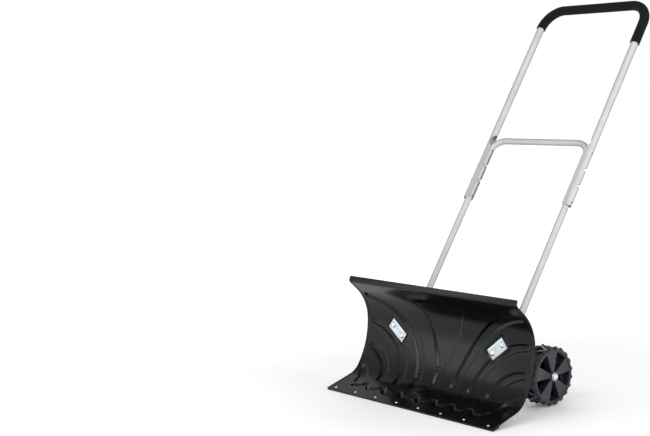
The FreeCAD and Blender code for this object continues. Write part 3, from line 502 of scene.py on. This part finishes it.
# %% [markdown]
# ## The ribbing pressed into the blade
# Thin plastic this wide would flap, so shallow channels stiffen it: four nested arcs on each half, a channel up
# the middle that opens into a tulip, and a stepped band along the floor. They could be separate pieces or cuts,
# but a mould makes them as one continuous relief, so they are a depth worked out at every point of the sheet.

# %% Work out the relief
# each arc: its centre across and along the sheet, its radius, and where it starts along the sheet
ARCS = [(380, 108, 302, 106), (357, 106, 205, 106), (352, 106, 121, 106), (401, 66, 98, 69)]
ARC_REACH = 346.0
ARC_HALF, ARC_NARROWER, ARC_SWELL = 11, 3, 22
CHANNEL_DEEP = 5.5
TULIP_DEEP = 5.5
STEM_HALF, STEM_FROM, STEM_TO = 11, 106, 206
CUP_FROM, CUP_TO, CUP_FADE = 198, 430, 30
CUP_HALF, CUP_FLARE, CUP_FLARE_FROM = 14.5, 0.405, 200
STEP_PERIOD = 77.7
STEP_LOW, STEP_HIGH = 49.0, 69.5
STEP_HALF = 7.5
STEP_EDGE = 2.8
STEP_DEEP = 4.2
STEP_FIRST = 11.6
LOW_TO, RAMP_TO, HIGH_TO = 30.0, 37.1, 55.8
STEP_REACH, STEP_MIDDLE = 296.0, -4.0
SOFT_EDGE = 3.2
BEAD_TALL, BEAD_FROM, BEAD_WIDE = 1.2, 361, 4


def eased(value):
    value = min(max(value, 0.0), 1.0)
    return value * value * (3 - 2 * value)


def inside(distance, half, edge=SOFT_EDGE):
    """1 in the middle of a band and 0 outside it, with a sloped side."""
    return eased((half - distance) / edge + 0.5)


def arc_relief(x, s):
    best = 0.0
    for centre_x, centre_s, radius, start in ARCS:
        if s < start - SOFT_EDGE or x > ARC_REACH + SOFT_EDGE:
            continue
        distance = abs(math.hypot(x - centre_x, s - centre_s) - radius)
        turn = math.atan2(s - centre_s, centre_x - x) / (math.pi / 2)
        part = min(max(turn, 0.0), 1.0)
        half = ARC_HALF - ARC_NARROWER * part + ARC_SWELL * part * (1 - part)
        ends = eased((s - start) / SOFT_EDGE) * eased((ARC_REACH - x) / SOFT_EDGE + 0.5)
        best = max(best, inside(distance, half) * ends)
    return best * CHANNEL_DEEP


def tulip_relief(x, s):
    stem = inside(x, STEM_HALF) * eased((s - STEM_FROM) / SOFT_EDGE) * eased((STEM_TO - s) / SOFT_EDGE)
    half = CUP_HALF + CUP_FLARE * (s - CUP_FLARE_FROM)
    cup = inside(x, half) * eased((s - CUP_FROM) / SOFT_EDGE) * eased((CUP_TO - s) / CUP_FADE)
    return max(stem * CHANNEL_DEEP, cup * TULIP_DEEP)


def step_line(x):
    """Height of the stepped band's middle: low, a ramp, high, and a ramp down, once in each period."""
    place = (x - STEP_FIRST) % STEP_PERIOD
    if place < LOW_TO:
        return STEP_LOW
    if place < RAMP_TO:
        return STEP_LOW + (STEP_HIGH - STEP_LOW) * (place - LOW_TO) / (RAMP_TO - LOW_TO)
    if place < HIGH_TO:
        return STEP_HIGH
    return STEP_HIGH - (STEP_HIGH - STEP_LOW) * (place - HIGH_TO) / (STEP_PERIOD - HIGH_TO)


def step_relief(x, s):
    if s > STEP_HIGH + 3 * STEP_HALF:
        return 0.0
    ends = eased((STEP_REACH - abs(x - STEP_MIDDLE)) / SOFT_EDGE)
    return inside(abs(s - step_line(x)), STEP_HALF, STEP_EDGE) * ends * STEP_DEEP


def relief(x, s):
    side = abs(x)
    bead = -BEAD_TALL * eased((side - BEAD_FROM) / BEAD_WIDE)
    return max(arc_relief(side, s), tulip_relief(side, s), step_relief(x, s)) + bead


print("relief in the middle of the tulip", round(relief(0, 300), 2), "mm")

# %% [markdown]
# ## The blade's sheet
# A grid as wide as the blade and as tall as its section is long is laid along the section and pressed to the
# relief. Under each clamp plate the mould is flat, so the sheet is drawn to the plate's own back face there.
# Solidify gives it its wall, and where the yoke bears on it the back is kept flat in front of the yoke. Towards
# the ends the wall is thinner behind the channels: when the blade swivels, a wheel comes within 3 mm of it.

# %% Mould the blade
GRID_X, GRID_S = 246, 165
TOP_CORNER = 5.0
SKIN = 4.2
SEAT_LONG, SEAT_WIDE, SEAT_EDGE = 88.0, 50.0, 4.0
YOKE_GAP = 0.2
clamp_low, clamp_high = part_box("right_clamp_plate")
SEAT_Y = clamp_high.y / MM
SEAT_X = (clamp_low.x + clamp_high.x) / 2 / MM
SEAT_Z = (clamp_low.z + clamp_high.z) / 2 / MM
CLAMP_TILT = math.radians(38)
WHEEL_SIDE = 200.0
BACK_LIMIT = 5.0
THIN_WALL = 0.8


def seat_weight(x, z):
    across, up = abs(x) - SEAT_X, z - SEAT_Z
    u = across * math.cos(CLAMP_TILT) + up * math.sin(CLAMP_TILT)
    v = up * math.cos(CLAMP_TILT) - across * math.sin(CLAMP_TILT)
    return inside(abs(u), SEAT_LONG / 2, SEAT_EDGE) * inside(abs(v), SEAT_WIDE / 2, SEAT_EDGE)


def half_width(s):
    """The blade's half width, less towards the top where its corners are round."""
    up = s - (SECTION_LONG - TOP_CORNER)
    if up <= 0:
        return HALF_WIDE
    return HALF_WIDE - TOP_CORNER + math.sqrt(max(TOP_CORNER ** 2 - up ** 2, 0.0))


deselect()
bpy.ops.mesh.primitive_grid_add(x_subdivisions=GRID_X, y_subdivisions=GRID_S, size=2)
blade = bpy.context.object
depths = []
for vertex in blade.data.vertices:
    s = (vertex.co.y + 1) / 2 * SECTION_LONG
    x = vertex.co.x * half_width(s)
    y, z, heading = section_point(s)
    deep = relief(x, s)
    depths.append(deep)
    y += deep * math.sin(heading)
    z -= deep * math.cos(heading)
    flat = seat_weight(x, z)
    vertex.co = (x * MM, (y + (SEAT_Y - y) * flat) * MM, z * MM)
blade.data.update()
if sum(face.normal.y for face in blade.data.polygons) > 0:
    blade.data.flip_normals()
apply_modifier(blade, "SOLIDIFY", thickness=SKIN * MM, offset=-1.0, use_even_offset=False)
fronts = blade.data.vertices[:len(depths)]
backs = blade.data.vertices[len(depths):]
thinned = 0
for front, back, deep in zip(fronts, backs, depths):
    wall = back.co - front.co
    allowed = max(BACK_LIMIT - deep, THIN_WALL) * MM
    if abs(front.co.x) > WHEEL_SIDE * MM and wall.length > allowed:
        back.co = front.co + wall.normalized() * allowed
        thinned += 1
print("fronts", len(fronts), "backs", len(backs), "thinned before the wheels", thinned)
yoke_low, yoke_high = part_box("yoke_plate")
pressed = 0
for vertex in blade.data.vertices:
    place = vertex.co
    beside = yoke_low.x < place.x < yoke_high.x and yoke_low.z < place.z < yoke_high.z
    if beside and place.y > yoke_low.y:
        place.y = yoke_low.y - YOKE_GAP * MM
        pressed += 1
complete(blade, "Blade", polypropylene, "blade", "blade_plastic", "blade_shell", smooth=60)
print("pressed flat before the yoke:", pressed, "points")

# %% [markdown]
# ## Rivets and carriage bolts
# Eight aluminium rivets hold the wear strip under the lip: low bright domes, square to the floor. Each clamp
# plate has two carriage bolts, whose smooth domes face the snow and whose threaded ends pass the nuts behind.

# %% Set the rivets
RIVET_HEAD, RIVET_DOME, RIVET_SETBACK = 4.3, 2.4, 14.7
RIVET_SHANK, RIVET_LONG, FILLET = 2.5, 7.5, 0.2
rivet_low, rivet_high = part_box("wear_strip_rivets")
RIVETS = 8
rivet_span = rivet_high.x - rivet_low.x - 2 * RIVET_HEAD * MM
rivet_y, rivet_z, _ = section_point(RIVET_SETBACK)
shank = [(-RIVET_LONG, RIVET_SHANK), (-FILLET, RIVET_SHANK), (0.0, RIVET_HEAD)]
rivet = turned(shank + dome_steps(RIVET_HEAD, RIVET_DOME), sides=24)
rivet_places = [
    Matrix.Translation(((n / (RIVETS - 1) - 0.5) * rivet_span, rivet_y * MM, rivet_z * MM))
    @ Matrix.Rotation(math.radians(FLOOR_RISE), 4, "X")
    for n in range(RIVETS)
]
complete(copies_at(rivet, rivet_places), "Rivets", bare_aluminium, "blade", "rivet_aluminium",
         "wear_strip_rivets")

# %% Set the carriage bolts
BOLT_R, BOLT_HEAD, BOLT_DOME, BOLT_PITCH = 4.0, 9.5, 4.75, 50.0
THREAD_PITCH, THREAD_DEEP, THREAD_LONG = 1.25, 0.35, 14
TIP_CHAMFER, TIP_LONG = 0.8, 0.6
bolt_low, bolt_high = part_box("clamp_carriage_bolts")
bolt_tip = (bolt_high.y - clamp_low.y) / MM


def threaded(start, end, radius):
    """Rings that rise and fall by a thread's depth between two places along a shank."""
    steps = int((end - start) / (THREAD_PITCH / 2))
    return [(start + n * THREAD_PITCH / 2, radius - THREAD_DEEP * (n % 2)) for n in range(steps + 1)]


dome = [(-rise, radius) for rise, radius in reversed(dome_steps(BOLT_HEAD, BOLT_DOME))]
thread = threaded(bolt_tip - THREAD_LONG, bolt_tip - TIP_LONG, BOLT_R)
neck = [(0.0, BOLT_HEAD), (0.05, BOLT_R)]
carriage = turned(dome + neck + thread + [(bolt_tip, BOLT_R - TIP_CHAMFER)], sides=28)
bolt_places = []
for side in (-1, 1):
    for end in (-1, 1):
        x = side * (SEAT_X + end * BOLT_PITCH / 2 * math.cos(CLAMP_TILT))
        z = SEAT_Z + end * BOLT_PITCH / 2 * math.sin(CLAMP_TILT)
        place = Matrix.Translation((x * MM, clamp_low.y, z * MM))
        bolt_places.append(place @ Matrix.Rotation(-math.pi / 2, 4, "X"))
complete(copies_at(carriage, bolt_places), "Carriage_bolts", bright_steel, "blade", "zinc_steel",
         "clamp_carriage_bolts")

# %% [markdown]
# ## Bolts through the handle and caps on the axle
# The upper tube is held by two bolts in each leg, domed outside. The axle's ends carry push-on caps: a flat
# flange and a smooth dome pressed from bright steel.

# %% Set the handle bolts
HANDLE_HEAD, HANDLE_DOME, HANDLE_BOLT = 7.0, 4.0, 3.0
HANDLE_NUT, TIP_SHOWS = 5.0, 2.0
HANDLE_LEAN = math.radians(33.3)
HANDLE_FOOT = 111.0 * MM + blade_low.y
BOLTED = (803.0, 863.0)
handle_low, handle_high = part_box("handle_bolts")
nut_low, nut_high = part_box("handle_nuts")
head_seat = handle_high.x / MM - HANDLE_DOME
tip = head_seat - (nut_high.x / MM - HANDLE_NUT - TIP_SHOWS)
stem = [(-tip, HANDLE_BOLT), (-0.1, HANDLE_BOLT), (0.0, HANDLE_HEAD)]
domed = turned(stem + dome_steps(HANDLE_HEAD, HANDLE_DOME), sides=28)
handle_places = []
for side in (-1, 1):
    for along in BOLTED:
        y = HANDLE_FOOT + along * math.sin(HANDLE_LEAN) * MM
        place = Matrix.Translation((side * head_seat * MM, y, along * math.cos(HANDLE_LEAN) * MM))
        handle_places.append(place @ Matrix.Rotation(side * math.pi / 2, 4, "Y"))
complete(copies_at(domed, handle_places), "Handle_bolts", bright_steel, "chassis", "zinc_steel", "handle_bolts")

# %% Push the caps on
FLANGE, CAP_STEP = 1.2, 1.8
for side, node in ((-1, "left_axle_cap"), (1, "right_axle_cap")):
    low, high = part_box(node)
    tall = (high.x - low.x) / MM
    wide = (high.y - low.y) / 2 / MM
    inner_x = low.x if side > 0 else high.x
    foot = wide - FLANGE
    flange = [(0.0, wide), (FLANGE, wide), (CAP_STEP, foot)]
    dome = [(CAP_STEP + rise, radius) for rise, radius in dome_steps(foot, tall - CAP_STEP, 8)]
    cap = turned(flange + dome, sides=40)
    place = Matrix.Translation((inner_x, (low.y + high.y) / 2, (low.z + high.z) / 2))
    cap = copies_at(cap, [place @ Matrix.Rotation(side * math.pi / 2, 4, "Y")])
    complete(cap, node + "_domed", bright_steel, "chassis", "cap_steel", node)

# %% [markdown]
# ## The wheels
# Each wheel is one hard moulding. Its tread has a zigzag rib between two rings, with a deep triangular pocket
# in every bend of the zigzag, and small lugs stand out of both rings. Its face has five wedges and five deep
# pockets. The tread is a drum whose wall is cut by a zigzag into triangles, which are pushed in. The face is a
# second drum, whose caps are inset to a ring and hub, and whose sectors are then pushed in together.

# %% Shape the tread
wheel_low, wheel_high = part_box("right_wheel")
WHEEL_R = (wheel_high.z - wheel_low.z) / 2 / MM
WHEEL_WIDE = (wheel_high.x - wheel_low.x) / MM
LUGS = 20
RING_WIDE = 8.0
LUG_TALL = 3.0
POCKET_DEEP = 8.0
TREAD_FALL = 8.0
DRUM_R = WHEEL_R - LUG_TALL
SHOULDER_R = DRUM_R - TREAD_FALL
RIB_HALF, POCKET_SLOPE = 2.4, 0.8
LAP = 1.5
DISC_R = DRUM_R - POCKET_DEEP - LAP
LUG_SLOPE = 6.0
LUG_TIP_R = WHEEL_R - LUG_SLOPE
NEAR = 0.01 * MM


def cut_ring(height):
    """Cuts the drum all round at a height, as a plane through it."""
    bpy.ops.mesh.select_all(action="SELECT")
    bpy.ops.mesh.bisect(plane_co=(0, 0, height * MM), plane_no=(0, 0, 1))


def scale_round_axle(factor):
    bpy.ops.transform.resize(value=(factor, factor, 1), center_override=(0, 0, 0))


deselect()
bpy.ops.mesh.primitive_cylinder_add(vertices=LUGS, radius=DRUM_R * MM, depth=WHEEL_WIDE * MM,
                                    end_fill_type="NOTHING")
tread = bpy.context.object
bpy.ops.object.mode_set(mode="EDIT")
band = WHEEL_WIDE / 2 - RING_WIDE
cut_ring(band)
cut_ring(-band)
pick_open_ends()
scale_round_axle(SHOULDER_R / DRUM_R)
bpy.ops.object.mode_set(mode="OBJECT")
step = 2 * math.pi / LUGS


def turn_of(point):
    return math.atan2(point.y, point.x) % (2 * math.pi)


# %% [markdown]
# The zigzag joins every second corner of one ring to the corners between them on the other ring. The straight
# edges across the tread are then taken out, so that each bend holds one wide triangle.

# %% Draw the zigzag
for vertex in tread.data.vertices:
    corner = round(turn_of(vertex.co) / step) % 2
    on_ring = abs(abs(vertex.co.z) - band * MM) < NEAR
    vertex.select = on_ring and corner == (0 if vertex.co.z > 0 else 1)
for edge in tread.data.edges:
    edge.select = False
for face in tread.data.polygons:
    face.select = False
bpy.ops.object.mode_set(mode="EDIT")
bpy.ops.mesh.select_mode(type="VERT")
bpy.ops.mesh.vert_connect()
bpy.ops.object.mode_set(mode="OBJECT")
print("tread has", sum(1 for f in tread.data.polygons if len(f.vertices) == 3), "triangles")

# %% Sink the pockets and raise the lugs
bpy.ops.object.mode_set(mode="EDIT")
bpy.ops.mesh.select_mode(type="EDGE")
bpy.ops.mesh.select_all(action="DESELECT")
bpy.ops.object.mode_set(mode="OBJECT")
for edge in tread.data.edges:
    a, b = (tread.data.vertices[i].co for i in edge.vertices)
    straight = (a.xy - b.xy).length < NEAR
    edge.select = straight and abs(a.z + b.z) < NEAR and abs(a.z - b.z) > band * MM
bpy.ops.object.mode_set(mode="EDIT")
bpy.ops.mesh.dissolve_edges(use_verts=False)
pick_faces(tread, lambda centre, normal: abs(centre.z) < band * MM)
bpy.ops.mesh.inset(thickness=RIB_HALF * MM, use_individual=True, depth=0)
bpy.ops.mesh.inset(thickness=POCKET_SLOPE * MM, use_individual=True, depth=-POCKET_DEEP * MM)
bpy.ops.mesh.select_mode(type="EDGE")
bpy.ops.mesh.select_all(action="DESELECT")
bpy.ops.object.mode_set(mode="OBJECT")
for edge in tread.data.edges:
    a, b = (tread.data.vertices[i].co for i in edge.vertices)
    edge.select = abs(a.z - b.z) < NEAR and abs(a.z) > band * MM - NEAR
bpy.ops.object.mode_set(mode="EDIT")
bpy.ops.mesh.subdivide(number_cuts=2)
bpy.ops.object.mode_set(mode="OBJECT")
for vertex in tread.data.vertices:
    if abs(vertex.co.z) > band * MM - NEAR:
        radius = DRUM_R if abs(vertex.co.z) < band * MM + NEAR else SHOULDER_R
        vertex.co.xy = vertex.co.xy.normalized() * radius * MM
pick_faces(tread, lambda centre, normal: abs(centre.z) > band * MM
           and int(turn_of(centre) / step * 3) % 3 == 1)
bpy.ops.mesh.extrude_region_move()
scale_round_axle(WHEEL_R / DRUM_R)
bpy.ops.object.mode_set(mode="OBJECT")
for vertex in tread.data.vertices:
    at_face = abs(vertex.co.z) > WHEEL_WIDE / 2 * MM - NEAR
    if at_face and vertex.co.xy.length > (SHOULDER_R + 1) * MM:
        vertex.co.xy = vertex.co.xy.normalized() * LUG_TIP_R * MM
bpy.ops.object.mode_set(mode="EDIT")
pick_open_ends()
bpy.ops.mesh.extrude_edges_move()
scale_round_axle((DISC_R - LAP) / SHOULDER_R)
bpy.ops.object.mode_set(mode="OBJECT")
print("tread now has", len(tread.data.polygons), "faces")

# %% Shape the face
SECTORS = 5
SEGMENTS = 120
RIM_IN = DISC_R - 3.0
HUB_R = 13.5
SECTOR_DEEP = 22.0
DISH_DEEP, DISH_SLOPE = 3.0, 1.5
SECTOR_MARGIN, SECTOR_SLOPE = 1.5, 1.2
FACE_BACK = 0.5
SECTOR_FIRST = math.radians(-13.5)
SECTOR_HALF = math.radians(19.5)

deselect()
bpy.ops.mesh.primitive_cylinder_add(vertices=SEGMENTS, radius=DISC_R * MM,
                                    depth=(WHEEL_WIDE - 2 * FACE_BACK) * MM, end_fill_type="NGON")
disc = bpy.context.object


def on_a_cap(centre, normal):
    return abs(normal.z) > 0.9


def near_cap(centre, normal):
    return on_a_cap(centre, normal) and math.hypot(centre.x, centre.y) < 1 * MM


pick_faces(disc, on_a_cap)
bpy.ops.mesh.inset(thickness=(DISC_R - RIM_IN) * MM, depth=0)
pick_faces(disc, near_cap)
bpy.ops.mesh.inset(thickness=DISH_SLOPE * MM, depth=-DISH_DEEP * MM)
pick_faces(disc, near_cap)
bpy.ops.mesh.inset(thickness=(RIM_IN - DISH_SLOPE - HUB_R - DISH_SLOPE) * MM, depth=0)
pick_faces(disc, near_cap)
bpy.ops.mesh.inset(thickness=DISH_SLOPE * MM, depth=DISH_DEEP * MM)


def in_a_sector(centre, normal):
    radius = math.hypot(centre.x, centre.y)
    if not on_a_cap(centre, normal) or not (HUB_R + 2) * MM < radius < (RIM_IN - 2) * MM:
        return False
    pitch = 2 * math.pi / SECTORS
    off = (turn_of(centre) - SECTOR_FIRST + pitch / 2) % pitch - pitch / 2
    return abs(off) < SECTOR_HALF


count = pick_faces(disc, in_a_sector)
bpy.ops.mesh.inset(thickness=SECTOR_MARGIN * MM, depth=0)
bpy.ops.mesh.inset(thickness=SECTOR_SLOPE * MM, depth=-SECTOR_DEEP * MM)
bpy.ops.object.mode_set(mode="OBJECT")
print("sectors took", count, "faces")

# %% Join, round and place the wheels
MOULD_EDGE = 0.7
join_into(tread, disc)
face_outwards()
apply_modifier(tread, "BEVEL", width=MOULD_EDGE * MM, segments=2, limit_method="ANGLE",
               angle_limit=math.radians(35))
to_axle = Matrix(((0, 0, 1), (1, 0, 0), (0, 1, 0))).to_4x4()
for node in ("left_wheel", "right_wheel"):
    low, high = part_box(node)
    wheel = bpy.data.objects.new(node, tread.data.copy())
    bpy.context.scene.collection.objects.link(wheel)
    wheel.data.transform(Matrix.Translation((low + high) / 2) @ to_axle)
    complete(wheel, node + "_moulded", polyethylene, node, "wheel_plastic", node, smooth=40)
bpy.data.objects.remove(tread)

# %% [markdown]
# ## The foam grip
# The grip is a sleeve of soft black foam pushed over the whole bend of the handle. It follows the tube: up one
# leg, round a bend, across, and down. By hand that is a circle extruded along the straights and spun round the
# bends. It is drawn upright and then leaned back with the handle.

# %% Sleeve the handle
GRIP_R, GRIP_BORE = 16.3, 12.6
GRIP_END, GRIP_TOP, GRIP_LEG, GRIP_BEND = 1348.0, 1504.0, 220.5, 75.0
GRIP_EDGE = 1.2
BEND_STEPS = 20
QUARTER = -math.pi / 2  # with no window open, Spin turns the other way round its axis


def sleeve(radius):
    """The sleeve's wall at a radius, from its left end to its right end."""
    deselect()
    bpy.ops.mesh.primitive_circle_add(vertices=36, radius=radius * MM,
                                      location=(-GRIP_LEG * MM, 0, GRIP_END * MM))
    piece = bpy.context.object
    bpy.ops.object.transform_apply(location=True, rotation=True, scale=True)
    bpy.ops.object.mode_set(mode="EDIT")
    bpy.ops.mesh.select_all(action="SELECT")
    rise = GRIP_TOP - GRIP_BEND - GRIP_END
    across = 2 * (GRIP_LEG - GRIP_BEND)
    bend_z = (GRIP_TOP - GRIP_BEND) * MM
    bpy.ops.mesh.extrude_region_move(TRANSFORM_OT_translate={"value": (0, 0, rise * MM)})
    bpy.ops.mesh.spin(steps=BEND_STEPS, angle=QUARTER, center=(-(GRIP_LEG - GRIP_BEND) * MM, 0, bend_z),
                      axis=(0, 1, 0))
    bpy.ops.mesh.extrude_region_move(TRANSFORM_OT_translate={"value": (across * MM, 0, 0)})
    bpy.ops.mesh.spin(steps=BEND_STEPS, angle=QUARTER, center=((GRIP_LEG - GRIP_BEND) * MM, 0, bend_z),
                      axis=(0, 1, 0))
    bpy.ops.mesh.extrude_region_move(TRANSFORM_OT_translate={"value": (0, 0, -rise * MM)})
    bpy.ops.object.mode_set(mode="OBJECT")
    return piece


outer_wall = sleeve(GRIP_R)
inner_wall = sleeve(GRIP_BORE)
join_into(outer_wall, inner_wall)
grip = outer_wall
bpy.ops.object.mode_set(mode="EDIT")
pick_open_ends()
bpy.ops.object.mode_set(mode="OBJECT")
open_edges = [edge for edge in grip.data.edges if edge.select]
left = {edge.index for edge in open_edges if grip.data.vertices[edge.vertices[0]].co.x < 0}
right = {edge.index for edge in open_edges} - left
for end in (left, right):
    for edge in grip.data.edges:
        edge.select = edge.index in end
    bpy.ops.object.mode_set(mode="EDIT")
    bpy.ops.mesh.bridge_edge_loops()
    bpy.ops.mesh.select_all(action="DESELECT")
    bpy.ops.object.mode_set(mode="OBJECT")
face_outwards()
apply_modifier(grip, "BEVEL", width=GRIP_EDGE * MM, segments=3, limit_method="ANGLE",
               angle_limit=math.radians(50))
grip.data.transform(Matrix.Translation((0, HANDLE_FOOT, 0)) @ Matrix.Rotation(-HANDLE_LEAN, 4, "X"))
complete(grip, "Foam_grip", foam, "chassis", "grip_foam", "foam_grip", smooth=50)
